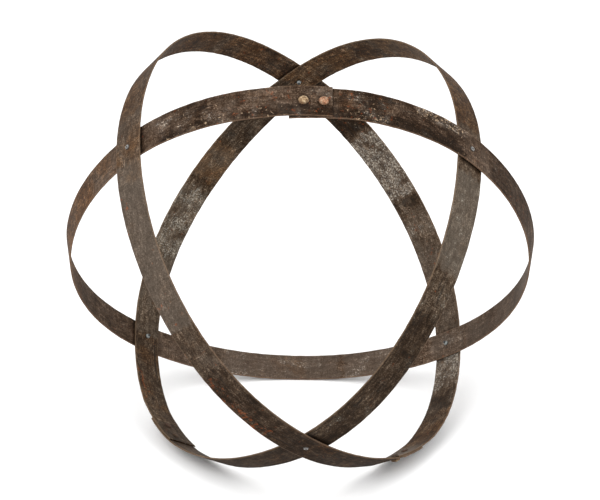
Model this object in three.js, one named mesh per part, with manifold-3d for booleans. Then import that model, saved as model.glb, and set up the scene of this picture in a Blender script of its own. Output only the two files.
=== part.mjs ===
// Hoop orb: a globe-shaped wreath frame made of three old barrel hoops.
// The hoops stand roughly square to one another, one over the next, and a blind rivet holds each of
// their six crossings. Each hoop is one steel strip whose two ends overlap in a lap with two solid
// rivets. Nothing on it moves. Millimetres, +Z up, standing on the lowest band of each hoop.
//
// The orb is worked out in its own frame first: its X, Y and Z axes run from its centre to the three
// upper crossings. It is then turned to stand on its three feet.
import * as THREE from "three";
import { mergeVertices } from "three/addons/utils/BufferGeometryUtils.js";
import Module from "manifold-3d";

const wasm = await Module();
wasm.setup();

// ---- Driving dimensions --------------------------------------------------------------------------
const ORB_RADIUS = 271; // orb centre to the middle of the hoops' thickness
const BAND_WIDTH = 38.5;
const BAND_THICKNESS = 1.6;
const CLEARANCE = 0.3; // gap kept between pieces that touch
const CROSSING_GAP = 0.5; // gap between two bands at the edge of their crossing

const LAP_LENGTH = 49; // overlap of a strip's two ends
const JOGGLE_LENGTH = 34; // stretch in which a strip's end steps over the other
const SLANT_LENGTH = 30; // the strip starts to run off to one side this long before its lap
const LAP_RIVET_FROM_END = 10; // outer end of the strip to the first rivet
const LAP_RIVET_PITCH = 22.4;

const LAP_RIVET = { shankRadius: 2.5, headRadius: 5.8, headHeight: 3, tailRadius: 4.6, tailHeight: 1.3 };
const BLIND_RIVET = { shankRadius: 1.6, boreRadius: 1.15, headRadius: 3.2, headHeight: 1.1 };
const BLIND_BULB = { radius: 2.9, length: 3.4 };
const MANDREL = { breakDepth: 1.2, headRadius: 1.6, headLength: 1.5 };

// How each hoop sits in the orb, as it was bent and riveted by hand. Angles run round the hoop from
// its first axis to its second, and "side" is along first x second.
//   layer, layerSwing  the hoop's place in the stack: +1 lies over another band, -1 under it
//   offset             how far its middle plane lies to the side
//   lean               tips it to the side, at its first axis and at its second
//   warp               bends it out of its plane twice a turn, along its axes and between them
//   bow                how far each quarter bulges out between two crossings
//   twistDegrees       how far the band rolls about its length between crossings
//   lapAngle, lapRun   where the strip's outer end lies, and which way the strip runs from it
//   lapSlant           how far the strip's inner end pokes out to the side
const X = new THREE.Vector3(1, 0, 0);
const Y = new THREE.Vector3(0, 1, 0);
const Z = new THREE.Vector3(0, 0, 1);
const OUTER = {
  name: "outer_hoop", first: X, second: Z, layer: 1, layerSwing: 0,
  offset: 5.5, lean: [-0.5, 8], warp: [-4, 1.5], bow: [3, 1.5, 5.5, 3.5],
  twistDegrees: -8, lapAngle: 227.5, lapRun: 1, lapSlant: 1.2,
};
const MIDDLE = {
  name: "middle_hoop", first: X, second: Y, layer: 0, layerSwing: -1,
  offset: -14, lean: [6.5, 0.5], warp: [-0.5, 12], bow: [-9, 2, 3, 2],
  twistDegrees: 5, lapAngle: 51.7, lapRun: -1, lapSlant: -2.4,
};
const INNER = {
  name: "inner_hoop", first: Y, second: Z, layer: -1, layerSwing: 0,
  offset: -4.5, lean: [4.5, -3.5], warp: [9, -0.5], bow: [-5.5, -1, 8.5, -0.5],
  twistDegrees: 6, lapAngle: 212.9, lapRun: 1, lapSlant: -1.2,
};
const HOOPS = [OUTER, MIDDLE, INNER];

// The six crossings, each with the band on top, the band below it and the two bands' angles there.
const CROSSINGS = [
  { name: "front_left_upper", over: OUTER, overAngle: 0, under: MIDDLE, underAngle: 0 },
  { name: "front_right_upper", over: MIDDLE, overAngle: 90, under: INNER, underAngle: 0 },
  { name: "rear_upper", over: OUTER, overAngle: 90, under: INNER, underAngle: 90 },
  { name: "rear_right_lower", over: OUTER, overAngle: 180, under: MIDDLE, underAngle: 180 },
  { name: "rear_left_lower", over: MIDDLE, overAngle: 270, under: INNER, underAngle: 180 },
  { name: "front_lower", over: OUTER, overAngle: 270, under: INNER, underAngle: 270 },
];

const STEPS_PER_TURN = 120; // flat stretches round a hoop
const RIVET_SIDES = 14;
const FOOT_QUARTER = [190, 260]; // each hoop's foot lies between these two angles

// ---- Worked out from them ------------------------------------------------------------------------
const FULL_TURN = 360;
const DEGREES_PER_MM = FULL_TURN / (2 * Math.PI * ORB_RADIUS);
const LAP_ANGLE = LAP_LENGTH * DEGREES_PER_MM;
const JOGGLE_ANGLE = JOGGLE_LENGTH * DEGREES_PER_MM;
const SLANT_ANGLE = SLANT_LENGTH * DEGREES_PER_MM;
// Two bands that cross bend away from each other, so their middles lie further apart than their edges.
const CROSSING_SAG = BAND_WIDTH ** 2 / (8 * ORB_RADIUS);
const LAYER_STEP = BAND_THICKNESS + CROSSING_SAG + CROSSING_GAP;
const LAP_STEP = BAND_THICKNESS + CLEARANCE;
const LAP_GRIP = LAP_STEP + BAND_THICKNESS + 2 * CLEARANCE;
const CROSSING_GRIP = LAYER_STEP + BAND_THICKNESS + 2 * CLEARANCE;

const steel = new THREE.MeshStandardMaterial({ color: 0x5a4b3e, roughness: 0.75, metalness: 0.55 });
const rivetSteel = new THREE.MeshStandardMaterial({ color: 0xa98468, roughness: 0.7, metalness: 0.4 });
const aluminium = new THREE.MeshStandardMaterial({ color: 0xb4b8b6, roughness: 0.4, metalness: 0.85 });
const mandrelSteel = new THREE.MeshStandardMaterial({ color: 0x6b6d6e, roughness: 0.5, metalness: 0.8 });

// ---- The path of a hoop --------------------------------------------------------------------------
const radians = THREE.MathUtils.degToRad;
const smooth = (value) => THREE.MathUtils.smoothstep(value, 0, 1);

// How far a strip has run from its outer end, in degrees, gives its place in the lap: 1 on the outer
// layer, -1 on the inner one and 0 on the rest of the hoop.
function lapLayer(run) {
  const outer = 1 - smooth((run - LAP_ANGLE) / JOGGLE_ANGLE);
  const inner = smooth((run - FULL_TURN + JOGGLE_ANGLE) / JOGGLE_ANGLE);
  return outer - inner;
}

// The band's middle at an angle of the hoop, with the directions square to its face, across its width
// and along it. Each point lies on a sphere round the orb's centre, as far as the bow allows.
function bandAt(hoop, degrees, raise = 0, slant = 0) {
  const angle = radians(degrees);
  const side = new THREE.Vector3().crossVectors(hoop.first, hoop.second);
  const sideways = hoop.offset + slant
    + hoop.lean[0] * Math.cos(angle) + hoop.lean[1] * Math.sin(angle)
    + hoop.warp[0] * Math.cos(2 * angle) + hoop.warp[1] * Math.sin(2 * angle);
  const latitude = sideways / ORB_RADIUS;
  const betweenCrossings = Math.sin(2 * angle) ** 2;
  const quarter = Math.floor(THREE.MathUtils.euclideanModulo(degrees, FULL_TURN) / 90);
  const layer = (hoop.layer + hoop.layerSwing * Math.cos(2 * angle)) / 2;
  const radius = ORB_RADIUS + layer * LAYER_STEP + hoop.bow[quarter] * betweenCrossings;

  const spoke = hoop.first.clone().multiplyScalar(Math.cos(angle))
    .addScaledVector(hoop.second, Math.sin(angle));
  const outward = spoke.clone().multiplyScalar(Math.cos(latitude))
    .addScaledVector(side, Math.sin(latitude));
  const across = side.clone().multiplyScalar(Math.cos(latitude))
    .addScaledVector(spoke, -Math.sin(latitude));
  const along = new THREE.Vector3().crossVectors(across, outward);
  const centre = outward.clone().multiplyScalar(radius);

  const twist = radians(hoop.twistDegrees) * betweenCrossings;
  outward.applyAxisAngle(along, twist);
  across.applyAxisAngle(along, twist);
  centre.addScaledVector(outward, raise);
  return { centre, outward, across, along };
}

// The same for a strip, which runs from its outer end once round and on under itself.
function stripAt(hoop, run) {
  const slant = hoop.lapSlant * smooth((run - FULL_TURN + SLANT_ANGLE) / (SLANT_ANGLE + LAP_ANGLE));
  return bandAt(hoop, hoop.lapAngle + hoop.lapRun * run, lapLayer(run) * LAP_STEP / 2, slant);
}

// ---- Solids --------------------------------------------------------------------------------------
function toSolid(geometry) {
  geometry.deleteAttribute("normal");
  geometry.deleteAttribute("uv");
  const merged = mergeVertices(geometry, 1e-4);
  return new wasm.Manifold(new wasm.Mesh({
    numProp: 3,
    vertProperties: new Float32Array(merged.attributes.position.array),
    triVerts: new Uint32Array(merged.index.array),
  }));
}

function toGeometry(solid) {
  const mesh = solid.getMesh();
  const geometry = new THREE.BufferGeometry();
  geometry.setAttribute("position", new THREE.BufferAttribute(mesh.vertProperties, 3));
  geometry.setIndex(new THREE.BufferAttribute(mesh.triVerts, 1));
  geometry.computeVertexNormals();
  return geometry;
}

// A straight flat strip, bent round the hoop's path.
function strip(hoop) {
  const turn = FULL_TURN + LAP_ANGLE;
  const steps = Math.ceil(turn * STEPS_PER_TURN / FULL_TURN);
  const geometry = new THREE.BoxGeometry(BAND_WIDTH, BAND_THICKNESS, turn, 1, 1, steps);
  const position = geometry.attributes.position;
  const point = new THREE.Vector3();
  for (let i = 0; i < position.count; i++) {
    point.fromBufferAttribute(position, i);
    // Steps are whole from the outer end, so that the two layers of the lap bend at the same places.
    const step = Math.round((point.z / turn + 0.5) * steps);
    const band = stripAt(hoop, Math.min(step * FULL_TURN / STEPS_PER_TURN, turn));
    band.centre.addScaledVector(band.across, point.x * hoop.lapRun);
    band.centre.addScaledVector(band.outward, point.y);
    position.setXYZ(i, band.centre.x, band.centre.y, band.centre.z);
  }
  return toSolid(geometry);
}

// Where a rivet sits: seat is a point on its axis at the outer face it holds, axis points outward.
function placed(geometry, rivet) {
  geometry.rotateX(Math.PI / 2);
  geometry.applyQuaternion(new THREE.Quaternion().setFromUnitVectors(Z, rivet.axis));
  geometry.translate(rivet.seat.x, rivet.seat.y, rivet.seat.z);
  return geometry;
}

function drill(radius, rivet) {
  const length = 4 * LAYER_STEP;
  return toSolid(placed(new THREE.CylinderGeometry(radius, radius, 2 * length, RIVET_SIDES), rivet));
}

function lathe(profile) {
  const points = profile.map(([radius, height]) => new THREE.Vector2(radius, height));
  return new THREE.LatheGeometry(points.reverse(), RIVET_SIDES);
}

// A solid rivet: a low round head outside, a hammered tail inside.
function lapRivetGeometry() {
  const { shankRadius, headRadius, headHeight, tailRadius, tailHeight } = LAP_RIVET;
  const top = CLEARANCE + headHeight;
  const tail = CLEARANCE - LAP_GRIP;
  return lathe([
    [0, top], [headRadius * 0.55, top - headHeight * 0.1], [headRadius * 0.87, top - headHeight * 0.45],
    [headRadius, CLEARANCE + headHeight * 0.15], [headRadius * 0.97, CLEARANCE], [shankRadius, CLEARANCE],
    [shankRadius, tail], [tailRadius, tail], [tailRadius * 0.9, tail - tailHeight * 0.7],
    [tailRadius * 0.5, tail - tailHeight], [0, tail - tailHeight],
  ]);
}

// A blind rivet's body: a thin domed head with an open mouth, a tube, and a bulb swollen inside.
function blindRivetGeometry() {
  const { shankRadius, boreRadius, headRadius, headHeight } = BLIND_RIVET;
  const top = CLEARANCE + headHeight;
  const tail = CLEARANCE - CROSSING_GRIP;
  return lathe([
    [boreRadius, tail - BLIND_BULB.length], [boreRadius, top - headHeight * 0.15],
    [boreRadius * 1.35, top], [headRadius * 0.7, top - headHeight * 0.25],
    [headRadius, CLEARANCE + headHeight * 0.25], [headRadius, CLEARANCE], [shankRadius, CLEARANCE],
    [shankRadius, tail], [BLIND_BULB.radius * 0.9, tail], [BLIND_BULB.radius, tail - BLIND_BULB.length * 0.3],
    [BLIND_BULB.radius * 0.85, tail - BLIND_BULB.length * 0.75],
    [shankRadius, tail - BLIND_BULB.length], [boreRadius, tail - BLIND_BULB.length],
  ]);
}

// The broken-off mandrel that stays in a blind rivet, with its head under the bulb.
function mandrelGeometry() {
  const radius = BLIND_RIVET.boreRadius - CLEARANCE;
  const top = CLEARANCE - MANDREL.breakDepth;
  const shoulder = CLEARANCE - CROSSING_GRIP - BLIND_BULB.length - CLEARANCE;
  const bottom = shoulder - MANDREL.headLength;
  return lathe([
    [0, top], [radius, top], [radius, shoulder], [MANDREL.headRadius, shoulder],
    [MANDREL.headRadius, bottom + MANDREL.headLength * 0.35], [MANDREL.headRadius * 0.6, bottom], [0, bottom],
  ]);
}

// ---- Rivet places --------------------------------------------------------------------------------
function lapRivets(hoop) {
  return [0, 1].map((count) => {
    const run = (LAP_RIVET_FROM_END + count * LAP_RIVET_PITCH) * DEGREES_PER_MM;
    const band = stripAt(hoop, run);
    const seat = band.centre.clone().addScaledVector(band.outward, BAND_THICKNESS / 2);
    return { name: `${hoop.name}_lap_rivet_${count + 1}`, seat, axis: band.outward, hoops: [hoop] };
  });
}

// The middle lines of the two bands meet a little way from the orb's axis, where each one's own angle
// is found in a few rounds.
function crossingRivet({ name, over, overAngle, under, underAngle }) {
  let overBand = bandAt(over, overAngle);
  let underBand = bandAt(under, underAngle);
  for (let round = 0; round < 6; round++) {
    const apart = underBand.centre.clone().normalize().sub(overBand.centre.clone().normalize());
    overAngle += THREE.MathUtils.radToDeg(apart.dot(overBand.along));
    underAngle -= THREE.MathUtils.radToDeg(apart.dot(underBand.along));
    overBand = bandAt(over, overAngle);
    underBand = bandAt(under, underAngle);
  }
  const axis = overBand.outward.clone().add(underBand.outward).normalize();
  const seat = overBand.centre.clone().addScaledVector(overBand.outward, BAND_THICKNESS / 2);
  return { name, seat, axis, hoops: [over, under] };
}

// ---- Standing ------------------------------------------------------------------------------------
// The lowest point of a hoop's outer face for an up direction, in its foot quarter.
function footOf(hoop, up) {
  let lowest = null;
  for (let degrees = FOOT_QUARTER[0]; degrees <= FOOT_QUARTER[1]; degrees += 0.5) {
    const run = THREE.MathUtils.euclideanModulo((degrees - hoop.lapAngle) * hoop.lapRun, FULL_TURN);
    for (const edge of [-0.5, 0.5]) {
      const band = stripAt(hoop, run);
      const point = band.centre.addScaledVector(band.across, edge * BAND_WIDTH)
        .addScaledVector(band.outward, BAND_THICKNESS / 2);
      if (!lowest || point.dot(up) < lowest.dot(up)) lowest = point;
    }
  }
  return lowest;
}

// The up direction for which the three feet lie level, found in a few rounds.
function uprightDirection() {
  const up = new THREE.Vector3(1, 1, 1).normalize();
  for (let round = 0; round < 8; round++) {
    const [outerFoot, middleFoot, innerFoot] = HOOPS.map((hoop) => footOf(hoop, up));
    const level = new THREE.Vector3()
      .crossVectors(middleFoot.clone().sub(outerFoot), innerFoot.clone().sub(outerFoot)).normalize();
    up.copy(level.dot(up) < 0 ? level.negate() : level);
  }
  return up;
}

// ---- The assembly --------------------------------------------------------------------------------
const orb = new THREE.Group();

function addPiece(name, geometry, material) {
  const mesh = new THREE.Mesh(geometry, material);
  mesh.name = name;
  orb.add(mesh);
}

const crossings = CROSSINGS.map(crossingRivet);
const laps = HOOPS.flatMap(lapRivets);

for (const hoop of HOOPS) {
  let band = strip(hoop);
  for (const rivet of laps.filter((each) => each.hoops.includes(hoop))) {
    band = band.subtract(drill(LAP_RIVET.shankRadius + CLEARANCE, rivet));
  }
  for (const rivet of crossings.filter((each) => each.hoops.includes(hoop))) {
    band = band.subtract(drill(BLIND_RIVET.shankRadius + CLEARANCE, rivet));
  }
  addPiece(hoop.name, toGeometry(band), steel);
}
for (const rivet of laps) {
  addPiece(rivet.name, placed(lapRivetGeometry(), rivet), rivetSteel);
}
for (const rivet of crossings) {
  addPiece(`${rivet.name}_rivet`, placed(blindRivetGeometry(), rivet), aluminium);
  addPiece(`${rivet.name}_mandrel`, placed(mandrelGeometry(), rivet), mandrelSteel);
}

// Turn it to stand on its feet with the rear upper crossing straight behind the centre, then move it
// so that its box is centred on the origin and stands on it.
const up = uprightDirection();
const right = new THREE.Vector3().crossVectors(Z, up).normalize();
const back = new THREE.Vector3().crossVectors(up, right);
orb.quaternion.setFromRotationMatrix(new THREE.Matrix4().makeBasis(right, back, up).transpose());
orb.updateMatrixWorld(true);
const box = new THREE.Box3().setFromObject(orb, true);
const middle = box.getCenter(new THREE.Vector3());
orb.position.set(-middle.x, -middle.y, -box.min.z);

export default orb;
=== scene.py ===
# Hoop orb wreath frame: three rusted barrel hoops, riveted at their crossings and at their laps.
# The hoops and rivets are rebuilt finely over the CAD frame, in metres and in the same place.
import math

import bmesh
import bpy
import numpy as np
from mathutils import Matrix, Vector, noise


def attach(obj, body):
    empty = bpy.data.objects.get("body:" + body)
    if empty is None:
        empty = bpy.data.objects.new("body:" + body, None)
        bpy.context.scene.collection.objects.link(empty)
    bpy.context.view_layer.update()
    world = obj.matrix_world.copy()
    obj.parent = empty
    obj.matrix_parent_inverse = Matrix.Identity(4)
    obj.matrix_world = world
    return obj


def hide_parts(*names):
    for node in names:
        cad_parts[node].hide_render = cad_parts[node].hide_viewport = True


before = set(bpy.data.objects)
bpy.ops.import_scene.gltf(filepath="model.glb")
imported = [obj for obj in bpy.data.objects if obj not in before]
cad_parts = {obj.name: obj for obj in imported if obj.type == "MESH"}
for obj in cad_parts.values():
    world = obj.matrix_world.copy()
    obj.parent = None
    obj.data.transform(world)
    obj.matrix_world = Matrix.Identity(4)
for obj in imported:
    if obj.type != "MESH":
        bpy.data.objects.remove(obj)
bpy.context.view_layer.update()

MM = 0.001
TAU = 2 * math.pi

# ---- Sizes, as in the CAD model ------------------------------------------------------------------
ORB_RADIUS = 271 * MM
BAND_WIDTH = 38.5 * MM
BAND_THICKNESS = 1.6 * MM
CLEARANCE = 0.3 * MM
CROSSING_GAP = 0.5 * MM
LAP_LENGTH = 49 * MM
JOGGLE_LENGTH = 34 * MM
SLANT_LENGTH = 30 * MM
LAP_RIVET_FROM_END = 10 * MM
LAP_RIVET_PITCH = 22.4 * MM

LAP_SHANK, LAP_HEAD, LAP_HEAD_HEIGHT = 2.5 * MM, 5.8 * MM, 3.0 * MM
LAP_TAIL, LAP_TAIL_HEIGHT = 4.6 * MM, 1.3 * MM
BLIND_SHANK, BLIND_BORE, BLIND_HEAD, BLIND_HEAD_HEIGHT = 1.6 * MM, 1.15 * MM, 3.2 * MM, 1.1 * MM
BULB_RADIUS, BULB_LENGTH = 2.9 * MM, 3.4 * MM
MANDREL_BREAK, MANDREL_HEAD, MANDREL_HEAD_LENGTH = 1.2 * MM, 1.6 * MM, 1.5 * MM

CROSSING_SAG = BAND_WIDTH ** 2 / (8 * ORB_RADIUS)
LAYER_STEP = BAND_THICKNESS + CROSSING_SAG + CROSSING_GAP
LAP_STEP = BAND_THICKNESS + CLEARANCE
LAP_GRIP = LAP_STEP + BAND_THICKNESS + 2 * CLEARANCE
CROSSING_GRIP = LAYER_STEP + BAND_THICKNESS + 2 * CLEARANCE
DEGREES_PER_METRE = 360 / (TAU * ORB_RADIUS)
LAP_ANGLE = LAP_LENGTH * DEGREES_PER_METRE
JOGGLE_ANGLE = JOGGLE_LENGTH * DEGREES_PER_METRE
SLANT_ANGLE = SLANT_LENGTH * DEGREES_PER_METRE
STRIP_TURN = 360 + LAP_ANGLE
STRIP_LENGTH = STRIP_TURN / DEGREES_PER_METRE

X, Y, Z = Vector((1, 0, 0)), Vector((0, 1, 0)), Vector((0, 0, 1))

# Each hoop's axes, its place in the stack, how it was bent by hand, and where its lap is. Lengths in mm.
OUTER = dict(
    name="outer_hoop", first=X, second=Z, layer=1, swing=0, offset=5.5, lean=(-0.5, 8), warp=(-4, 1.5),
    bow=(3, 1.5, 5.5, 3.5), twist=-8, lap_angle=227.5, lap_run=1, lap_slant=1.2,
)
MIDDLE = dict(
    name="middle_hoop", first=X, second=Y, layer=0, swing=-1, offset=-14, lean=(6.5, 0.5),
    warp=(-0.5, 12), bow=(-9, 2, 3, 2), twist=5, lap_angle=51.7, lap_run=-1, lap_slant=-2.4,
)
INNER = dict(
    name="inner_hoop", first=Y, second=Z, layer=-1, swing=0, offset=-4.5, lean=(4.5, -3.5),
    warp=(9, -0.5), bow=(-5.5, -1, 8.5, -0.5), twist=6, lap_angle=212.9, lap_run=1, lap_slant=-1.2,
)
HOOPS = (OUTER, MIDDLE, INNER)

# Each crossing: the band on top and the band below, with their angles there.
CROSSINGS = {
    "front_left_upper": (OUTER, 0, MIDDLE, 0),
    "front_right_upper": (MIDDLE, 90, INNER, 0),
    "rear_upper": (OUTER, 90, INNER, 90),
    "rear_right_lower": (OUTER, 180, MIDDLE, 180),
    "rear_left_lower": (MIDDLE, 270, INNER, 180),
    "front_lower": (OUTER, 270, INNER, 270),
}

# Fineness of the meshes
CELLS_ROUND = 900
CELLS_ACROSS = 20
RIVET_SIDES = 40
HOLE_SIDES = 24
WORN_EDGE = 0.35 * MM
HAMMER_LUMPS = 0.45 * MM  # how far a hammered rivet strays from round


# ---- The path of a hoop --------------------------------------------------------------------------
def smooth(value):
    value = min(1.0, max(0.0, value))
    return value * value * (3 - 2 * value)


def band_at(hoop, degrees, lift=0.0, slant=0.0):
    """The band's middle at an angle of the hoop, and the directions out of, across and along it."""
    angle = math.radians(degrees)
    side = hoop["first"].cross(hoop["second"])
    lean, warp = hoop["lean"], hoop["warp"]
    sideways = slant + MM * (
        hoop["offset"] + lean[0] * math.cos(angle) + lean[1] * math.sin(angle)
        + warp[0] * math.cos(2 * angle) + warp[1] * math.sin(2 * angle)
    )
    latitude = sideways / ORB_RADIUS
    between_crossings = math.sin(2 * angle) ** 2
    layer = (hoop["layer"] + hoop["swing"] * math.cos(2 * angle)) / 2
    quarter = int(degrees % 360 // 90)
    radius = ORB_RADIUS + layer * LAYER_STEP + hoop["bow"][quarter] * MM * between_crossings

    spoke = hoop["first"] * math.cos(angle) + hoop["second"] * math.sin(angle)
    outward = spoke * math.cos(latitude) + side * math.sin(latitude)
    across = side * math.cos(latitude) - spoke * math.sin(latitude)
    along = across.cross(outward)
    middle = outward * radius
    twist = Matrix.Rotation(math.radians(hoop["twist"]) * between_crossings, 3, along)
    outward, across = twist @ outward, twist @ across
    return middle + outward * lift, outward, across, along


def lap_slant(hoop, run):
    """How far the strip's inner end has run off to the side."""
    return hoop["lap_slant"] * MM * smooth((run - 360 + SLANT_ANGLE) / (SLANT_ANGLE + LAP_ANGLE))


def strip_at(hoop, run):
    """The same for the strip, a number of degrees on from its outer end."""
    outer_layer = 1 - smooth((run - LAP_ANGLE) / JOGGLE_ANGLE)
    inner_layer = smooth((run - 360 + JOGGLE_ANGLE) / JOGGLE_ANGLE)
    slant = lap_slant(hoop, run)
    lift = (outer_layer - inner_layer) * LAP_STEP / 2
    return band_at(hoop, hoop["lap_angle"] + hoop["lap_run"] * run, lift, slant)


# ---- Rivet places --------------------------------------------------------------------------------
def lap_rivet_place(hoop, count):
    """A point on the rivet's axis at the face it is driven through, and the axis."""
    run = (LAP_RIVET_FROM_END + count * LAP_RIVET_PITCH) * DEGREES_PER_METRE
    middle, outward, _, _ = strip_at(hoop, run)
    return middle + outward * BAND_THICKNESS / 2, outward


def crossing_place(over, over_angle, under, under_angle):
    """The same for a crossing, with the two bands' own angles where their middle lines meet."""
    for _ in range(6):
        over_middle, over_out, _, over_along = band_at(over, over_angle)
        under_middle, under_out, _, under_along = band_at(under, under_angle)
        apart = under_middle.normalized() - over_middle.normalized()
        over_angle += math.degrees(apart.dot(over_along))
        under_angle -= math.degrees(apart.dot(under_along))
    axis = (over_out + under_out).normalized()
    return over_middle + over_out * BAND_THICKNESS / 2, axis, over_angle, under_angle


CROSSING_PLACES = {name: crossing_place(*crossing) for name, crossing in CROSSINGS.items()}


def node_middle(node):
    return np.mean([vertex.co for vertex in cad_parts[node].data.vertices], axis=0)


def orb_placement():
    """The turn and shift from the orb's own axes to the frame's, from where the crossing rivets are."""
    own = np.array([CROSSING_PLACES[name][0] for name in CROSSINGS])
    real = np.array([node_middle(f"{name}_rivet") for name in CROSSINGS])
    own_middle, real_middle = own.mean(0), real.mean(0)
    left, _, right = np.linalg.svd((real - real_middle).T @ (own - own_middle))
    turn = Matrix((left @ right).tolist())
    shift = Vector(real_middle) - turn @ Vector(own_middle)
    return Matrix.Translation(shift) @ turn.to_4x4()


ORB_TO_FRAME = orb_placement()


# ---- Marks on each hoop --------------------------------------------------------------------------
# Where the weathering and the painted shade change: the face, the angles between which it lies, and how
# strong
# each of these is there. scale: pale flaking lime scale. bloom: smooth grey film. char: black-brown.
# ochre: golden-brown rust film. rust: orange spots. The last is painted shade, darker all over for how
# light falls there.
OUT, IN = "outer face", "inner face"
MARKS = {
    "outer_hoop": (
        (OUT, -12, 12, dict(ochre=0.55, bloom=0.35)),
        (OUT, 8, 32, dict(ochre=0.75, bloom=0.1, painted_shade=0.2)),
        (OUT, 32, 200, dict(ochre=0.3, char=0.25, scale=0.15)),
        (OUT, 200, 278, dict(char=0.5, ochre=0.35, painted_shade=0.32)),
        (OUT, 260, 267, dict(ochre=1.0, toward=-1)),
        (OUT, 278, 300, dict(char=0.5, painted_shade=0.12)),
        (OUT, 278, 298, dict(rust=0.6, toward=1)),
        (OUT, 317, 319, dict(rust=0.8, toward=1)),
        (OUT, 300, 316, dict(char=0.3, bloom=0.3, rust=0.15)),
        (OUT, 312, 354, dict(bloom=0.95, ochre=0.05)),
        (OUT, 342.5, 344, dict(rust=0.6, toward=1)),
        (IN, 33, 63, dict(ochre=0.85, char=0.3, painted_shade=0.25)),
        (IN, 65, 96, dict(ochre=0.8, char=0.5, rust=0.15)),
        (IN, 97, 106, dict(char=0.5, scale=0.3, rust=0.2, painted_shade=0.2)),
        (IN, 106, 117, dict(char=0.7, scale=0.2, rust=0.2, painted_shade=0.1)),
        (IN, 118, 139, dict(scale=0.95, char=0.2, bloom=0.3)),
        (IN, 139.5, 141.5, dict(char=0.8, bloom=0.5)),
        (IN, 142, 165, dict(scale=0.4, rust=0.2, bloom=0.5)),
        (IN, 165, 186, dict(bloom=0.4, scale=0.3)),
        (IN, 187, 199, dict(scale=0.85, bloom=0.4)),
        (IN, 200, 208, dict(char=0.6, bloom=0.3)),
        (IN, 208, 226, dict(ochre=0.75, painted_shade=0.25)),
        (IN, 226, 237, dict(bloom=0.5, scale=0.3)),
        (IN, 237, 350, dict(char=0.4, ochre=0.3, scale=0.2)),
    ),
    "middle_hoop": (
        (OUT, -46, -14, dict(ochre=0.95, bloom=0.15, painted_shade=0.12)),
        (OUT, -16, 0, dict(ochre=0.6, bloom=0.4)),
        (OUT, 3, 10, dict(char=0.15, bloom=0.3, scale=0.15)),
        (OUT, 8, 30, dict(scale=0.5, char=0.42)),
        (OUT, 10, 44, dict(char=0.7, toward=-1)),
        (OUT, 24, 38, dict(char=0.25, rust=0.25, scale=0.35, bloom=0.35)),
        (OUT, 38, 53, dict(bloom=0.3, char=0.3, rust=0.2, scale=0.3)),
        (OUT, 30, 60, dict(char=0.9, toward=-1)),
        (OUT, 20, 58, dict(scale=0.35, toward=1)),
        (OUT, 72, 88, dict(scale=0.8, toward=1)),
        (OUT, 53, 66, dict(ochre=0.3, char=0.6, rust=0.3, scale=0.4)),
        (OUT, 54, 86, dict(char=1.0, toward=-1)),
        (OUT, 66, 86, dict(scale=0.22, char=0.55)),
        (OUT, 86, 95, dict(bloom=0.4, painted_shade=0.1)),
        (OUT, 95, 128, dict(char=0.35, rust=0.15, scale=0.25, painted_shade=0.3)),
        (OUT, 128, 314, dict(char=0.3, ochre=0.3, scale=0.2)),
        (IN, 134, 174, dict(bloom=0.6, painted_shade=0.15)),
        (IN, 148, 150, dict(char=0.6)),
        (IN, 174, 186, dict(scale=0.45, bloom=0.5)),
        (IN, 192, 212, dict(scale=0.5, bloom=0.9, ochre=0.2)),
        (IN, 213, 218, dict(char=0.2, bloom=0.9)),
        (IN, 218, 246, dict(scale=0.45, bloom=0.95, ochre=0.3)),
        (IN, 246, 272, dict(bloom=0.4, char=0.15)),
        (IN, 272, 300, dict(char=0.35, bloom=0.15, painted_shade=0.05)),
        (IN, 300, 314, dict(ochre=0.85, painted_shade=0.15)),
        (IN, -40, 130, dict(char=0.5, ochre=0.2)),
    ),
    "inner_hoop": (
        (OUT, -8, 6, dict(ochre=0.5, bloom=0.3)),
        (OUT, 4, 34, dict(ochre=0.95, painted_shade=0.25)),
        (OUT, 34, 236, dict(char=0.35, ochre=0.3, scale=0.15)),
        (OUT, 238, 270, dict(char=0.4, ochre=0.3, painted_shade=0.32)),
        (OUT, 271, 316, dict(char=0.4, scale=0.25, painted_shade=0.28)),
        (OUT, 316, 326, dict(char=0.2, scale=0.35, painted_shade=0.1)),
        (OUT, 326, 351, dict(scale=0.5, bloom=0.85)),
        (IN, 34, 62, dict(bloom=0.1, ochre=0.9, painted_shade=0.2)),
        (IN, 62, 72, dict(char=0.6, ochre=0.6)),
        (IN, 72, 96, dict(ochre=0.85, char=0.4, rust=0.12)),
        (IN, 96, 108, dict(char=0.4, scale=0.3)),
        (IN, 108, 121, dict(char=0.55, scale=0.4, bloom=0.2)),
        (IN, 122, 133, dict(ochre=0.7, bloom=0.5)),
        (IN, 136, 158, dict(scale=0.8, bloom=0.4)),
        (IN, 157, 172, dict(bloom=0.6)),
        (IN, 168, 182, dict(char=0.15, bloom=0.3)),
        (IN, 182, 214, dict(char=0.15, ochre=0.5, painted_shade=0.15)),
        (IN, 194, 206, dict(rust=0.5, toward=1)),
        (IN, 214, 236, dict(char=0.4, painted_shade=0.15)),
        (IN, 236, 350, dict(char=0.4, scale=0.2, ochre=0.2)),
    ),
}
# The last mark is painted shade, for how light falls on a stretch of the band.
MARK_NAMES = ("scale", "bloom", "char", "ochre", "rust", "painted_shade")
MARK_EDGE = 2.2  # degrees over which a mark fades at its two ends
FRAY_DEGREES, FRAY_LENGTH, FRAY_WIDTH = 1.6, 12 * MM, 6 * MM  # how ragged a mark's ends are
# The last layer is painted shade, with grime, where bands cross, under the lap and round its rivets' heads.
LAYER_NAMES = (*MARK_NAMES, "grime_and_painted_shade")
INNER_FACE_SHIFT = -4 * BAND_WIDTH  # how far aside the inner face lies in a hoop's band map


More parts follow.
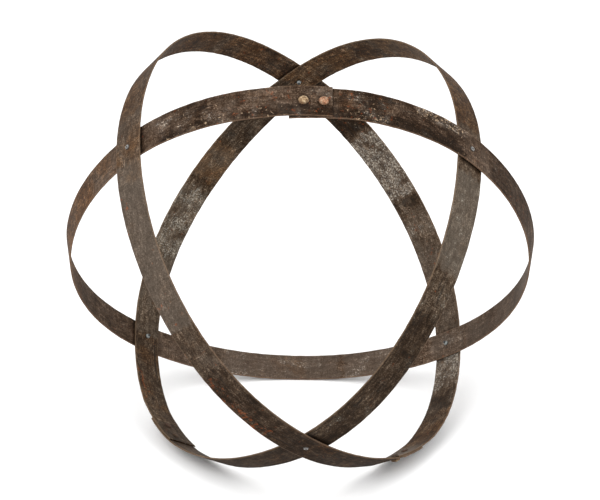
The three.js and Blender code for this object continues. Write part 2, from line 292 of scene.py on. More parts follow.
def mark_strengths(hoop, face, degrees, beside, wander):
    """How strong each kind of weathering, and the painted shade, is at an angle of a hoop's face, beside
    its middle line.

    wander frays the ends. A mark with "toward" lies only along that one edge, +1 or -1.
    """
    strengths = dict.fromkeys(MARK_NAMES, 0.0)
    for mark_face, start, end, marks in MARKS[hoop["name"]]:
        if mark_face != face:
            continue
        half = (end - start) / 2
        away = abs((degrees + wander - (start + end) / 2 + 180) % 360 - 180)
        inside = smooth((half - away) / MARK_EDGE + 0.5)
        toward = marks.get("toward", 0)
        if toward:
            inside *= smooth((toward * beside / BAND_WIDTH + 0.05 + 0.06 * wander) / 0.35)
        for name in MARK_NAMES:
            strengths[name] = max(strengths[name], marks.get(name, 0.0) * inside)
    return strengths


# ---- Hoops ---------------------------------------------------------------------------------------
def flat_strip():
    """The straight strip before bending: x across, y along, z out of its face, with worn arrises."""
    bm = bmesh.new()
    bmesh.ops.create_grid(bm, x_segments=CELLS_ACROSS, y_segments=CELLS_ROUND, size=0.5)
    bmesh.ops.scale(bm, vec=(BAND_WIDTH, STRIP_LENGTH, 1), verts=bm.verts)
    bmesh.ops.solidify(bm, geom=bm.faces[:], thickness=BAND_THICKNESS)
    middle = sum(vertex.co.z for vertex in bm.verts) / len(bm.verts)
    bmesh.ops.translate(bm, vec=(0, 0, -middle), verts=bm.verts)
    bmesh.ops.recalc_face_normals(bm, faces=bm.faces)
    arrises = [edge for edge in bm.edges if edge.calc_face_angle(0) > 1]
    bmesh.ops.bevel(
        bm, geom=arrises, offset=WORN_EDGE, offset_type="OFFSET", segments=2, profile=0.5,
        affect="EDGES", material=-1, clamp_overlap=True,
    )
    return bm


def strip_holes(hoop):
    """Where the strip is pierced: distance along it from its outer end, across it, and radius."""
    holes = []
    lap_hole = LAP_SHANK + CLEARANCE
    for count in (0, 1):
        along = LAP_RIVET_FROM_END + count * LAP_RIVET_PITCH
        holes.append((along, 0.0, lap_hole))
        inner_run = along * DEGREES_PER_METRE + 360
        slant = lap_slant(hoop, inner_run) * hoop["lap_run"]
        holes.append((inner_run / DEGREES_PER_METRE, slant, lap_hole))
    for name, (over, _, under, _) in CROSSINGS.items():
        if hoop in (over, under):
            angle = CROSSING_PLACES[name][2 if hoop is over else 3]
            run = (angle - hoop["lap_angle"]) * hoop["lap_run"] % 360
            holes.append((run / DEGREES_PER_METRE, 0.0, BLIND_SHANK + CLEARANCE))
    return holes


def mesh_object(name, bm):
    mesh = bpy.data.meshes.new(name)
    bm.to_mesh(mesh)
    bm.free()
    piece = bpy.data.objects.new(name, mesh)
    bpy.context.scene.collection.objects.link(piece)
    return piece


def pierced(bm, hoop):
    """The flat strip with its rivet holes cut."""
    blank = mesh_object("blank", bm)
    punch_bm = bmesh.new()
    for along, across, radius in strip_holes(hoop):
        place = Matrix.Translation((across, along - STRIP_LENGTH / 2, 0))
        bmesh.ops.create_cone(
            punch_bm, cap_ends=True, segments=HOLE_SIDES, radius1=radius, radius2=radius,
            depth=4 * BAND_THICKNESS, matrix=place,
        )
    punch = mesh_object("punch", punch_bm)
    cut = blank.modifiers.new("holes", "BOOLEAN")
    cut.operation = "DIFFERENCE"
    cut.solver = "EXACT"
    cut.object = punch
    pierced_bm = bmesh.new()
    pierced_bm.from_object(blank, bpy.context.evaluated_depsgraph_get())
    for scrap in (blank, punch):
        bpy.data.objects.remove(scrap, do_unlink=True)
    return pierced_bm


DENT_SIZE = 45 * MM  # dents are about this far apart
DENT_DEPTH = 0.35 * MM
DENT_FADE = 4  # degrees over which dents fade towards a lap
NICK_SIZE = 9 * MM
NICK_DEPTH = 0.32 * MM
PIT_SIZE = 5 * MM
PIT_DEPTH = 0.07 * MM


def worn(hoop, run_length, across, side):
    """How far wear moves a point of the strip: across it, and out of its face."""
    seed = 7.3 * HOOPS.index(hoop)
    dents = noise.noise(Vector((run_length / DENT_SIZE, across / DENT_SIZE, seed)))
    nicks = noise.noise(Vector((run_length / NICK_SIZE, math.copysign(2.0, across), seed + 3)))
    pits = noise.noise(Vector((run_length / PIT_SIZE, across / PIT_SIZE, seed + 5 + 3 * side)))
    near_edge = smooth((abs(across) / BAND_WIDTH - 0.4) / 0.1)
    return nicks * NICK_DEPTH * near_edge, dents * DENT_DEPTH, pits * PIT_DEPTH


SHADE_REACH = 5 * MM  # painted shade, with grime, reaches this far out from under a crossing band


def shaded_by_crossing(hoop, point, side):
    """Painted shade and grime: 1 under the band that crosses over this face, fading out beside it."""
    painted_shade = 0.0
    for over, _, under, _ in CROSSINGS.values():
        other = over if hoop is under and side > 0 else under if hoop is over and side < 0 else None
        if other is None:
            continue
        first, second = other["first"], other["second"]
        degrees = math.degrees(math.atan2(point.dot(second), point.dot(first)))
        middle, _, across, _ = band_at(other, degrees)
        beside = abs((point.normalized() - middle.normalized()).dot(across)) * ORB_RADIUS - BAND_WIDTH / 2
        painted_shade = max(painted_shade, smooth(1 - beside / SHADE_REACH))
    return painted_shade


HEAD_SHADE = 3.5 * MM  # painted shade, with grime, reaches this far out round a rivet's head


def shaded_by_lap(hoop, point, side, run, heads):
    """Painted shade and grime: 1 under the strip's outer end and close round the lap rivets' heads."""
    if side > 0 and run > 360:
        return 1.0
    if side > 0 and run < LAP_ANGLE:
        away = min((point - head).length for head in heads)
        return 0.9 * smooth(1 - (away - LAP_HEAD) / HEAD_SHADE)
    return 0.0


def loose_from_rivets(degrees):
    """0 where the strip is riveted to another band, 1 where it is free to be dented."""
    crossing = abs(math.sin(math.radians(2 * degrees)))
    return smooth((crossing - 0.17) / 0.2)


def hoop_piece(hoop):
    """A hoop: a pierced flat strip, bent round the hoop's path, lapped and worn."""
    bm = pierced(flat_strip(), hoop)
    band_map = bm.loops.layers.uv.new("band")
    layers = {name: bm.verts.layers.float.new(name) for name in LAYER_NAMES}
    for face in bm.faces:
        shift = INNER_FACE_SHIFT if face.normal.z < -0.5 else 0.0
        face.smooth = abs(face.normal.z) > 0.5
        for loop in face.loops:
            flat = loop.vert.co
            loop[band_map].uv = (flat.y + STRIP_LENGTH / 2, flat.x + shift)
    path = {}
    heads = [lap_rivet_place(hoop, count)[0] for count in (0, 1)]
    for vertex in bm.verts:
        across, along, out = vertex.co
        run = (along / STRIP_LENGTH + 0.5) * STRIP_TURN
        key = round(run, 4)
        if key not in path:
            path[key] = strip_at(hoop, key)
        middle, outward, sideways, _ = path[key]
        degrees = hoop["lap_angle"] + hoop["lap_run"] * run
        run_length = run / DEGREES_PER_METRE
        side = 1 if out > 0 else -1
        nick, dent, pit = worn(hoop, run_length, across, side)
        off_the_lap = smooth((run - LAP_ANGLE) / DENT_FADE) * smooth((360 - run) / DENT_FADE)
        loose = loose_from_rivets(degrees) * off_the_lap
        across += nick * math.copysign(1, across)
        out += dent * loose + pit * side
        frayed_at = Vector((run_length / FRAY_LENGTH, vertex.co.x / FRAY_WIDTH, side))
        fray = FRAY_DEGREES * noise.noise(frayed_at)
        beside = -vertex.co.x * hoop["lap_run"]
        strengths = mark_strengths(hoop, OUT if side > 0 else IN, degrees, beside, fray)
        vertex.co = middle - sideways * across * hoop["lap_run"] + outward * out
        # Painted shade, with grime, under crossing bands, under the lap's outer end and round its rivets'
        # heads.
        strengths["grime_and_painted_shade"] = max(
            shaded_by_crossing(hoop, vertex.co, side), shaded_by_lap(hoop, vertex.co, side, run, heads),
        )
        for name, layer in layers.items():
            vertex[layer] = strengths[name]
    bmesh.ops.transform(bm, matrix=ORB_TO_FRAME, verts=bm.verts)
    piece = mesh_object(f"{hoop['name']}_steel", bm)
    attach(piece, "root")
    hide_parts(hoop["name"])
    return piece


# ---- Rivets --------------------------------------------------------------------------------------
def turned(profile, place, lump=0.0, seed=0.0, pinkness=0.0, darkens_from=0.66, bore=0.0):
    """A piece turned from (radius, height) points about a rivet's axis, a little lumpy if hammered.

    Its head is darker beyond a given part of its radius, and round its bore.
    """
    seat, axis = place
    bm = bmesh.new()
    points = [bm.verts.new((radius, 0, height)) for radius, height in profile]
    edges = [bm.edges.new(pair) for pair in zip(points, points[1:])]
    bmesh.ops.spin(
        bm, geom=points + edges, cent=(0, 0, 0), axis=(0, 0, 1), angle=TAU, steps=RIVET_SIDES,
        use_merge=True, use_duplicate=False,
    )
    bmesh.ops.remove_doubles(bm, verts=bm.verts, dist=0.005 * MM)
    bmesh.ops.recalc_face_normals(bm, faces=bm.faces)
    tail, rim = bm.verts.layers.float.new("tail"), bm.verts.layers.float.new("rim")
    pink = bm.verts.layers.float.new("pink")
    widest = max(vertex.co.xy.length for vertex in bm.verts if vertex.co.z > -CROSSING_GRIP)
    for vertex in bm.verts:
        vertex[tail] = 1.0 if vertex.co.z < -BAND_THICKNESS else 0.0
        vertex[pink] = pinkness
        out = vertex.co.xy.length
        darkened = max(smooth((out / widest - darkens_from) / 0.26), smooth((bore * 1.5 - out) / (0.3 * MM)))
        vertex[rim] = darkened if vertex.co.z > 0 else 0.0
        rough = noise.noise(vertex.co / (3.2 * MM) + Vector((seed, seed, 0)))
        vertex.co += vertex.co.normalized() * rough * lump
    turn = Z.rotation_difference(axis).to_matrix().to_4x4()
    bmesh.ops.transform(bm, matrix=ORB_TO_FRAME @ Matrix.Translation(seat) @ turn, verts=bm.verts)
    for face in bm.faces:
        face.smooth = True
    return bm


def arc(centre, size, start, end, steps):
    """Points of a round stretch of a profile, from one angle to another in degrees."""
    angles = [math.radians(start + (end - start) * step / steps) for step in range(steps + 1)]
    return [(centre[0] + size[0] * math.cos(a), centre[1] + size[1] * math.sin(a)) for a in angles]


def lap_rivet_profile():
    tail = CLEARANCE - LAP_GRIP
    dome = arc((0, CLEARANCE), (LAP_HEAD, LAP_HEAD_HEIGHT), 90, 6, 10)
    hammered = arc((0, tail), (LAP_TAIL, -LAP_TAIL_HEIGHT), 4, 90, 7)
    return [
        (0.0, CLEARANCE + LAP_HEAD_HEIGHT), *dome[1:], (LAP_HEAD * 0.97, CLEARANCE), (LAP_SHANK, CLEARANCE),
        (LAP_SHANK, tail), *hammered[:-1], (0.0, tail - LAP_TAIL_HEIGHT),
    ]


def blind_rivet_profile():
    tail = CLEARANCE - CROSSING_GRIP
    lip = BLIND_HEAD_HEIGHT * 0.18
    flat = BLIND_BORE * 1.3
    flange = arc((flat, CLEARANCE), (BLIND_HEAD - flat, BLIND_HEAD_HEIGHT), 90, 8, 8)
    bulb_middle = tail - BULB_LENGTH * 0.42
    bulb = arc((BLIND_SHANK, bulb_middle), (BULB_RADIUS - BLIND_SHANK, BULB_LENGTH * 0.42), 78, -84, 10)
    foot = tail - BULB_LENGTH
    return [
        (BLIND_BORE, foot), (BLIND_BORE, CLEARANCE + BLIND_HEAD_HEIGHT - lip), *flange,
        (BLIND_HEAD * 0.985, CLEARANCE), (BLIND_SHANK, CLEARANCE), (BLIND_SHANK, tail), *bulb,
        (BLIND_SHANK * 0.97, foot), (BLIND_BORE, foot),
    ]


def mandrel_profile():
    radius = BLIND_BORE - CLEARANCE
    top = CLEARANCE - MANDREL_BREAK
    shoulder = CLEARANCE - CROSSING_GRIP - BULB_LENGTH - CLEARANCE
    ball_middle, ball_depth = shoulder - MANDREL_HEAD_LENGTH * 0.45, MANDREL_HEAD_LENGTH * 0.55
    ball = arc((0, ball_middle), (MANDREL_HEAD, ball_depth), 0, -90, 6)
    return [
        (0.0, top + 0.25 * MM), (radius * 0.5, top + 0.15 * MM), (radius, top - 0.2 * MM),
        (radius, shoulder),
        (MANDREL_HEAD * 0.95, shoulder), *ball[:-1], (0.0, shoulder - MANDREL_HEAD_LENGTH),
    ]


def rivet_piece(name, node, bm):
    piece = mesh_object(name, bm)
    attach(piece, "root")
    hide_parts(node)
    return piece


# ---- Shader building blocks ----------------------------------------------------------------------
def add_node(tree, kind, values=None, **settings):
    """A node with its settings, and its inputs set by name or number."""
    node = tree.nodes.new(kind)
    for name, value in settings.items():
        setattr(node, name, value)
    for name, value in (values or {}).items():
        socket = node.inputs[name]
        if isinstance(value, bpy.types.NodeSocket):
            tree.links.new(value, socket)
        else:
            socket.default_value = value
    return node


def new_group(name, inputs, outputs):
    """An empty node group with sockets, and its input and output nodes."""
    group = bpy.data.node_groups.new(name, "ShaderNodeTree")
    for socket_name, (kind, value) in inputs.items():
        socket = group.interface.new_socket(socket_name, in_out="INPUT", socket_type=kind)
        if value is not None:
            socket.default_value = value
    for socket_name, kind in outputs.items():
        group.interface.new_socket(socket_name, in_out="OUTPUT", socket_type=kind)
    return group, group.nodes.new("NodeGroupInput").outputs, group.nodes.new("NodeGroupOutput").inputs


FLOAT, COLOUR, VECTOR = "NodeSocketFloat", "NodeSocketColor", "NodeSocketVector"


def sums(tree, operation, first, second, clamp=False):
    return add_node(tree, "ShaderNodeMath", {0: first, 1: second}, operation=operation,
                    use_clamp=clamp).outputs[0]


def mixed(tree, factor, first, second, blend="MIX"):
    """Two colours mixed by a factor."""
    node = add_node(tree, "ShaderNodeMix", data_type="RGBA", blend_type=blend)
    for socket, value in zip((node.inputs[0], node.inputs[6], node.inputs[7]), (factor, first, second)):
        if isinstance(value, bpy.types.NodeSocket):
            tree.links.new(value, socket)
        else:
            socket.default_value = value
    return node.outputs[2]


def stepped(tree, value, low, high):
    """0 below one value and 1 above the other, with a soft step between."""
    return add_node(
        tree, "ShaderNodeMapRange", {"Value": value, "From Min": low, "From Max": high},
        interpolation_type="SMOOTHSTEP",
    ).outputs[0]


def stretched_noise(tree, vector, stretch, detail=4.0, roughness=0.55, distortion=0.0):
    """Noise whose grains are about 1/stretch metres long along and across."""
    scaled = add_node(tree, "ShaderNodeVectorMath", {0: vector, 1: stretch}, operation="MULTIPLY")
    values = {
        "Vector": scaled.outputs[0], "Scale": 1.0, "Detail": detail, "Roughness": roughness,
        "Distortion": distortion,
    }
    return add_node(tree, "ShaderNodeTexNoise", values).outputs["Fac"]


def build_blotches():
    """A mask of ragged patches: how much of the surface they cover is Amount."""
    group, inputs, outputs = new_group(
        "ragged patches",
        {"Vector": (VECTOR, None), "Size": (FLOAT, 10.0), "Amount": (FLOAT, 0.5), "Soft": (FLOAT, 0.1)},
        {"Mask": FLOAT},
    )
    scaled = add_node(group, "ShaderNodeVectorMath", {0: inputs["Vector"]}, operation="SCALE")
    group.links.new(inputs["Size"], scaled.inputs["Scale"])
    grains = add_node(
        group, "ShaderNodeTexNoise",
        {"Vector": scaled.outputs[0], "Scale": 1.0, "Detail": 6.0, "Roughness": 0.68},
    ).outputs["Fac"]
    # Noise lies mostly between 0.3 and 0.7, so the amount picks the level in that span.
    reach = add_node(
        group, "ShaderNodeMapRange",
        {"Value": inputs["Amount"], "To Min": 0.74, "To Max": 0.34},
    ).outputs[0]
    low = sums(group, "SUBTRACT", reach, inputs["Soft"])
    high = sums(group, "ADD", reach, inputs["Soft"])
    group.links.new(stepped(group, grains, low, high), outputs["Mask"])
    return group


def build_edge_mask():
    """A mask of the last few millimetres of a band's two edges, frayed."""
    group, inputs, outputs = new_group(
        "band edge", {"Vector": (VECTOR, None), "Width": (FLOAT, 1.5 * MM)}, {"Mask": FLOAT},
    )
    across = add_node(group, "ShaderNodeSeparateXYZ", {0: inputs["Vector"]}).outputs["Y"]
    inner = sums(group, "LESS_THAN", across, INNER_FACE_SHIFT / 2)
    back = sums(group, "MULTIPLY", inner, -INNER_FACE_SHIFT)
    centred = sums(group, "ADD", across, back)
    away = add_node(group, "ShaderNodeMath", {0: centred}, operation="ABSOLUTE").outputs[0]
    fray = stretched_noise(group, inputs["Vector"], (160, 160, 160))
    frayed = sums(group, "MULTIPLY_ADD", fray, 2.4 * MM)
    group.nodes[-1].inputs[2].default_value = -1.2 * MM
    reach = sums(group, "ADD", away, frayed)
    inside = sums(group, "SUBTRACT", BAND_WIDTH / 2, inputs["Width"])
    mask = stepped(group, reach, inside, BAND_WIDTH / 2 + 0.3 * MM)
    group.links.new(mask, outputs["Mask"])
    return group


BLOTCHES = build_blotches()
BAND_EDGE = build_edge_mask()


def use_group(tree, group, values):
    node = add_node(tree, "ShaderNodeGroup", node_tree=group)
    for name, value in values.items():
        if isinstance(value, bpy.types.NodeSocket):
            tree.links.new(value, node.inputs[name])
        else:
            node.inputs[name].default_value = value
    return node.outputs


def srgb(red, green, blue):
    """A colour given as it looks on a screen, 0 to 255, in the shader's linear values."""
    linear = [((c / 255 + 0.055) / 1.055) ** 2.4 if c > 10 else c / 255 / 12.92 for c in (red, green, blue)]
    return (*linear, 1.0)


# ---- The hoop steel ------------------------------------------------------------------------------
def build_hoop_steel():
    """Weathered hoop steel: colour, roughness, metal and height from the marks and the band's map."""
    group, inputs, outputs = new_group(
        "weathered hoop steel",
        {
            "Vector": (VECTOR, None), "Tint": (COLOUR, srgb(255, 255, 255)),
            "scale": (FLOAT, 0.0), "bloom": (FLOAT, 0.0), "char": (FLOAT, 0.0), "ochre": (FLOAT, 0.0),
            "rust": (FLOAT, 0.0), "painted_shade": (FLOAT, 0.0), "grime_and_painted_shade": (FLOAT, 0.0),
        },
        {"Colour": COLOUR, "Roughness": FLOAT, "Metal": FLOAT, "Height": FLOAT},
    )
    vector = inputs["Vector"]

    def patches(size, amount, soft):
        values = {"Vector": vector, "Size": size, "Amount": amount, "Soft": soft}
        return use_group(group, BLOTCHES, values)["Mask"]

    def times(value, factor):
        return sums(group, "MULTIPLY", value, factor)

    def plus(*values):
        total = values[0]
        for value in values[1:]:
            total = sums(group, "ADD", total, value)
        return total

    def centred(value):
        return sums(group, "SUBTRACT", value, 0.5)

    # Mottling in three sizes, streaks from rolling along the band, and fine marks across it.
    broad = stretched_noise(group, vector, (26, 40, 26), detail=4, roughness=0.6)
    middling = stretched_noise(group, vector, (120, 210, 120), detail=4, roughness=0.65, distortion=0.4)
    fine = stretched_noise(group, vector, (620, 620, 620), detail=3, roughness=0.7)
    lengthwise = stretched_noise(group, vector, (16, 330, 16), detail=4, roughness=0.6, distortion=0.25)
    crosswise = stretched_noise(group, vector, (480, 40, 40), detail=3, roughness=0.6, distortion=0.3)

    # How light the steel is, about 0.5 on average. Film smooths it. Char darkens it in patches and brings
    # out its streaks. Painted shade, with grime, darkens it where bands cross and round the lap, and more
    # painted shade darkens whole stretches.
    calm = sums(group, "SUBTRACT", 1.0, times(inputs["bloom"], 0.35))
    streaks = sums(group, "MULTIPLY", centred(lengthwise), plus(times(inputs["char"], 0.6), 0.2))
    swing = plus(
        times(centred(broad), 0.5), times(centred(middling), 0.8), times(centred(fine), 1.25),
        times(centred(crosswise), 0.35), streaks,
    )
    char_patches = times(patches(42.0, inputs["char"], 0.12), 0.2)
    light = plus(
        0.5, sums(group, "MULTIPLY", swing, calm), times(inputs["bloom"], 0.06),
        times(inputs["char"], -0.04), times(char_patches, -1.0), times(inputs["grime_and_painted_shade"], -0.22),
        times(inputs["painted_shade"], -0.3),
    )
    ramp = add_node(group, "ShaderNodeValToRGB", {"Fac": light})
    stops = STEEL_TONES
    while len(ramp.color_ramp.elements) < len(stops):
        ramp.color_ramp.elements.new(0.5)
    for element, (level, tone) in zip(ramp.color_ramp.elements, stops):
        element.position = level
        element.color = tone
    steel = ramp.outputs["Color"]

    # Golden-brown rust film and grey film tint the steel but let its mottling through. Fine dark pits
    # break through the grey film.
    ochre_mask = patches(30.0, plus(times(inputs["ochre"], 0.7), 0.12), 0.14)
    colour = mixed(group, times(ochre_mask, 0.75), steel, mixed(group, 1.0, steel, OCHRE_TINT, "MULTIPLY"))
    film_mask = patches(24.0, times(inputs["bloom"], 1.15), 0.2)
    filmed = mixed(group, 0.45, mixed(group, 1.0, colour, FILM_TINT, "MULTIPLY"), FILM_GREY)
    colour = mixed(group, times(film_mask, 0.8), colour, filmed)
    film_pits = patches(420.0, times(inputs["bloom"], 0.42), 0.04)
    colour = mixed(group, times(film_pits, 0.5), colour, SCAR_BLACK)

    # Dark scars along the band, which grey film fills in.
    scar_reach = plus(lengthwise, times(inputs["char"], 0.1))
    scar_lines, scar_zones = stepped(group, scar_reach, 0.57, 0.66), stepped(group, broad, 0.38, 0.55)
    scars = sums(group, "MULTIPLY", scar_lines, scar_zones)
    filled = sums(group, "MULTIPLY", scars, sums(group, "SUBTRACT", 1.0, inputs["bloom"], clamp=True))
    colour = mixed(group, times(filled, 0.82), colour, SCAR_BLACK)

    # Pale scale: flakes that gather in soft clouds and thin out round them, with single ones anywhere.
    cloud = patches(44.0, plus(times(inputs["scale"], 0.85), 0.04), 0.15)
    flake_noise = stretched_noise(group, vector, (450, 400, 400), detail=4, roughness=0.7, distortion=0.1)
    level = add_node(
        group, "ShaderNodeMapRange", {"Value": cloud, "To Min": 0.68, "To Max": 0.49},
    ).outputs[0]
    flakes = stepped(group, flake_noise, level, plus(level, 0.06))
    flake_tone = mixed(group, stepped(group, middling, 0.4, 0.6), SCALE_GREY, SCALE_CREAM)
    colour = mixed(group, times(cloud, 0.1), colour, flake_tone)
    colour = mixed(group, times(flakes, 0.72), colour, flake_tone)

    # Where scale lies over char it has broken into small cream chips.
    chips = patches(240.0, times(sums(group, "MULTIPLY", inputs["scale"], inputs["char"]), 0.95), 0.025)
    colour = mixed(group, times(chips, 0.58), colour, CHIP_CREAM)

    # Orange rust in small spots.
    spots = patches(130.0, plus(times(inputs["rust"], 0.52), 0.12), 0.07)
    colour = mixed(group, times(spots, 0.62), colour, RUST_ORANGE)

    # The two edges are rubbed lighter.
    edge = use_group(group, BAND_EDGE, {"Vector": vector})["Mask"]
    colour = mixed(group, times(edge, 0.48), colour, EDGE_BROWN)
    colour = mixed(group, 1.0, colour, inputs["Tint"], "MULTIPLY")

    rough = plus(
        0.56, times(fine, 0.3), times(spots, 0.12), times(flakes, 0.12), times(inputs["bloom"], -0.1),
    )
    bare = sums(group, "SUBTRACT", 1.0, sums(group, "MAXIMUM", flakes, spots))
    metal = times(bare, 0.12)
    height = plus(
        times(fine, 0.6), times(middling, 0.7), times(flakes, 0.5), times(scars, -0.9), times(spots, 0.3),
        times(crosswise, 0.3),
    )
    for name, socket in (("Colour", colour), ("Roughness", rough), ("Metal", metal), ("Height", height)):
        group.links.new(socket, outputs[name])
    return group


# Tones of the steel from its blackest to its palest, by how light the mottling makes it.
STEEL_TONES = (
    (0.2, srgb(18, 11, 6)), (0.38, srgb(43, 31, 21)), (0.5, srgb(61, 50, 40)), (0.62, srgb(83, 70, 58)),
    (0.8, srgb(136, 120, 104)),
)
OCHRE_TINT = (1.4, 1.0, 0.58, 1.0)
FILM_TINT = (1.0, 1.08, 1.2, 1.0)
FILM_GREY = srgb(84, 78, 71)
SCAR_BLACK = srgb(19, 15, 13)
SCALE_GREY = srgb(126, 122, 115)
SCALE_CREAM = srgb(170, 163, 151)
CHIP_CREAM = srgb(184, 165, 138)
RUST_ORANGE = srgb(132, 68, 34)
EDGE_BROWN = srgb(122, 102, 84)
HOOP_STEEL = build_hoop_steel()


def new_material(name):
    material = bpy.data.materials.new(name)
    material.use_nodes = True
    tree = material.node_tree
    shader = tree.nodes["Principled BSDF"]
    return material, tree, shader


def own_attribute(tree, name):
    """A number kept at each of the piece's vertices."""
    return add_node(tree, "ShaderNodeAttribute", attribute_name=name).outputs["Fac"]


def hoop_steel(name, start, tint):
    """One hoop's steel. start slides the pattern along, so that no two hoops are marked alike."""
    material, tree, shader = new_material(name)
    band = add_node(tree, "ShaderNodeUVMap", uv_map="band").outputs[0]
    moved = add_node(tree, "ShaderNodeMapping", {"Vector": band, "Location": start}).outputs[0]
    marks = {mark: own_attribute(tree, mark) for mark in LAYER_NAMES}
    steel = use_group(tree, HOOP_STEEL, {"Vector": moved, "Tint": tint, **marks})
    bump = add_node(
        tree, "ShaderNodeBump", {"Height": steel["Height"], "Strength": 0.55, "Distance": 0.45 * MM},
    ).outputs[0]
    tree.links.new(steel["Colour"], shader.inputs["Base Color"])
    tree.links.new(steel["Roughness"], shader.inputs["Roughness"])
    tree.links.new(steel["Metal"], shader.inputs["Metallic"])
    tree.links.new(bump, shader.inputs["Normal"])
    shader.inputs["Specular IOR Level"].default_value = 0.12
    shader.inputs["Specular Tint"].default_value = (1.0, 0.72, 0.5, 1)
    return material


SAND, CREAM = srgb(116, 90, 64), srgb(180, 154, 120)
SALMON, BRICK = srgb(170, 126, 98), srgb(134, 78, 52)


def rusted_rivet():
    """Solid rivets: dry tan or pinkish rust with brown pits and pale crust. Their tails are dark."""
    material, tree, shader = new_material("dry rusted rivet steel")
    place = add_node(tree, "ShaderNodeTexCoord").outputs["Object"]
    pinkness = own_attribute(tree, "pink")
    cream = mixed(tree, stepped(tree, stretched_noise(tree, place, (260,) * 3), 0.4, 0.6), SAND, CREAM)
    pink = mixed(tree, stepped(tree, stretched_noise(tree, place, (300,) * 3), 0.42, 0.6), SALMON, BRICK)
    colour = mixed(tree, pinkness, cream, pink)
    pits = use_group(tree, BLOTCHES, {"Vector": place, "Size": 460.0, "Amount": 0.5, "Soft": 0.06})["Mask"]
    colour = mixed(tree, sums(tree, "MULTIPLY", pits, 0.75), colour, srgb(84, 56, 38))
    crust = use_group(tree, BLOTCHES, {"Vector": place, "Size": 330.0, "Amount": 0.35, "Soft": 0.1})["Mask"]
    colour = mixed(tree, sums(tree, "MULTIPLY", crust, 0.6), colour, srgb(206, 192, 164))
    tail = own_attribute(tree, "tail")
    colour = mixed(tree, sums(tree, "MULTIPLY", tail, 0.92), colour, srgb(58, 43, 33))
    rim = own_attribute(tree, "rim")
    colour = mixed(tree, sums(tree, "MULTIPLY", rim, 0.5), colour, srgb(82, 60, 42))
    height = sums(tree, "SUBTRACT", crust, pits)
    bump = add_node(tree, "ShaderNodeBump", {"Height": height, "Strength": 0.8, "Distance": 0.5 * MM})
    tree.links.new(colour, shader.inputs["Base Color"])
    tree.links.new(bump.outputs[0], shader.inputs["Normal"])
    shader.inputs["Roughness"].default_value = 0.85
    shader.inputs["Metallic"].default_value = 0.0
    shader.inputs["Specular IOR Level"].default_value = 0.2
    return material


def bright_metal(name, light, dull, metallic, roughness, tail_tone):
    """Rivet metal with faint rubs, darker round its rim and bore, and a duller inner end."""
    material, tree, shader = new_material(name)
    place = add_node(tree, "ShaderNodeTexCoord").outputs["Object"]
    grime_and_painted_shade = use_group(tree, BLOTCHES, {"Vector": place, "Size": 420.0, "Amount": 0.4, "Soft": 0.12})["Mask"]
    colour = mixed(tree, sums(tree, "MULTIPLY", grime_and_painted_shade, 0.6), light, dull)
    tail = own_attribute(tree, "tail")
    colour = mixed(tree, sums(tree, "MULTIPLY", tail, 0.85), colour, tail_tone)
    rim = own_attribute(tree, "rim")
    colour = mixed(tree, sums(tree, "MULTIPLY", rim, 0.92), colour, srgb(46, 38, 32))
    rubs = stretched_noise(tree, place, (900, 900, 260), detail=3)
    rough = sums(tree, "MULTIPLY_ADD", rubs, 0.25)
    tree.nodes[-1].inputs[2].default_value = roughness
    bump = add_node(tree, "ShaderNodeBump", {"Height": rubs, "Strength": 0.25, "Distance": 0.1 * MM})
    tree.links.new(colour, shader.inputs["Base Color"])
    tree.links.new(rough, shader.inputs["Roughness"])
    tree.links.new(bump.outputs[0], shader.inputs["Normal"])
    shader.inputs["Metallic"].default_value = metallic
    return material


# ---- Making the pieces ---------------------------------------------------------------------------
STEELS = {
    "outer_hoop": hoop_steel("outer hoop steel", (0, 0, 0), (1.02, 0.99, 0.97, 1)),
    "middle_hoop": hoop_steel("middle hoop steel", (3, 0, 0), (1.06, 0.97, 0.93, 1)),
    "inner_hoop": hoop_steel("inner hoop steel", (7, 0, 0), (1.0, 0.99, 0.96, 1)),
}
RIVET_RUST = rusted_rivet()
ALUMINIUM = bright_metal(
    "rivet aluminium", srgb(204, 204, 202), srgb(132, 132, 130), 0.75, 0.36, srgb(112, 117, 116),
)
MANDREL_STEEL = bright_metal(
    "mandrel steel", srgb(44, 43, 43), srgb(28, 25, 23), 0.5, 0.55, srgb(58, 60, 60),
)

for hoop in HOOPS:
    piece = hoop_piece(hoop)
    piece.data.materials.append(STEELS[hoop["name"]])
    for count in (0, 1):
        node = f"{hoop['name']}_lap_rivet_{count + 1}"
        seed = 3.0 * count + HOOPS.index(hoop)
        seat = lap_rivet_place(hoop, count)
        bm = turned(lap_rivet_profile(), seat, HAMMER_LUMPS, seed, pinkness=1.0 - count)
        rivet = rivet_piece(f"{node}_hammered", node, bm)
        rivet.data.materials.append(RIVET_RUST)
for name in CROSSINGS:
    place = CROSSING_PLACES[name][:2]
    bm = turned(blind_rivet_profile(), place, darkens_from=0.5, bore=BLIND_BORE)
    body = rivet_piece(f"{name}_rivet_body", f"{name}_rivet", bm)
    body.data.materials.append(ALUMINIUM)
    bm = turned(mandrel_profile(), place)
    stub = rivet_piece(f"{name}_mandrel_stub", f"{name}_mandrel", bm)
    stub.data.materials.append(MANDREL_STEEL)


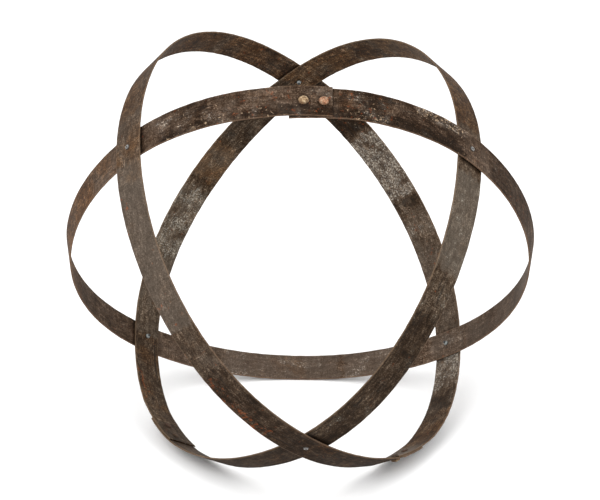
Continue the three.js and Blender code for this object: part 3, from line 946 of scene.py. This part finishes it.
# ---- Floor, light and camera ---------------------------------------------------------------------
def pale_floor():
    bm = bmesh.new()
    bmesh.ops.create_grid(bm, x_segments=1, y_segments=1, size=12)
    floor = mesh_object("floor", bm)
    material, _, shader = new_material("pale floor")
    shader.inputs["Base Color"].default_value = (0.9, 0.9, 0.9, 1)
    shader.inputs["Roughness"].default_value = 0.95
    shader.inputs["Specular IOR Level"].default_value = 0.0
    floor.data.materials.append(material)


def soft_light(name, place, aim, size, power):
    data = bpy.data.lights.new(name, "AREA")
    data.shape = "DISK"
    data.size = size
    data.energy = power
    light = bpy.data.objects.new(name, data)
    light.location = place
    light.rotation_euler = (Vector(aim) - Vector(place)).to_track_quat("-Z", "Y").to_euler()
    bpy.context.scene.collection.objects.link(light)


CAMERA_AZIMUTH = math.radians(-0.19)
CAMERA_ELEVATION = math.radians(20.43)
CAMERA_DISTANCE = 2.332
CAMERA_DROP = 8.9 * MM  # the camera aims this far below the orb's centre, in its own view
CAMERA_LENS = 117.8  # mm, on a 36 mm sensor


def set_camera():
    centre = ORB_TO_FRAME.translation
    back = Vector((
        math.sin(CAMERA_AZIMUTH) * math.cos(CAMERA_ELEVATION),
        -math.cos(CAMERA_AZIMUTH) * math.cos(CAMERA_ELEVATION),
        math.sin(CAMERA_ELEVATION),
    ))
    turn = (-back).to_track_quat("-Z", "Y")
    data = bpy.data.cameras.new("camera")
    data.lens = CAMERA_LENS
    data.sensor_width = 36
    camera = bpy.data.objects.new("camera", data)
    camera.location = centre - turn @ Vector((0, CAMERA_DROP, 0)) + back * CAMERA_DISTANCE
    camera.rotation_euler = turn.to_euler()
    bpy.context.scene.collection.objects.link(camera)
    bpy.context.scene.camera = camera


def soft_surround():
    world = bpy.data.worlds.new("studio")
    world.use_nodes = True
    background = world.node_tree.nodes["Background"]
    background.inputs["Color"].default_value = (1, 1, 1, 1)
    background.inputs["Strength"].default_value = 1.3
    bpy.context.scene.world = world


LIGHT_AIM = (0, 0, 0.25)
LIGHT_SIZE = 2.4

pale_floor()
soft_surround()
soft_light("key", (-1.3, -1.9, 2.6), LIGHT_AIM, LIGHT_SIZE, 45)
soft_light("fill", (1.9, -1.4, 1.8), LIGHT_AIM, LIGHT_SIZE, 15)
set_camera()
bpy.context.scene.view_settings.view_transform = "Standard"
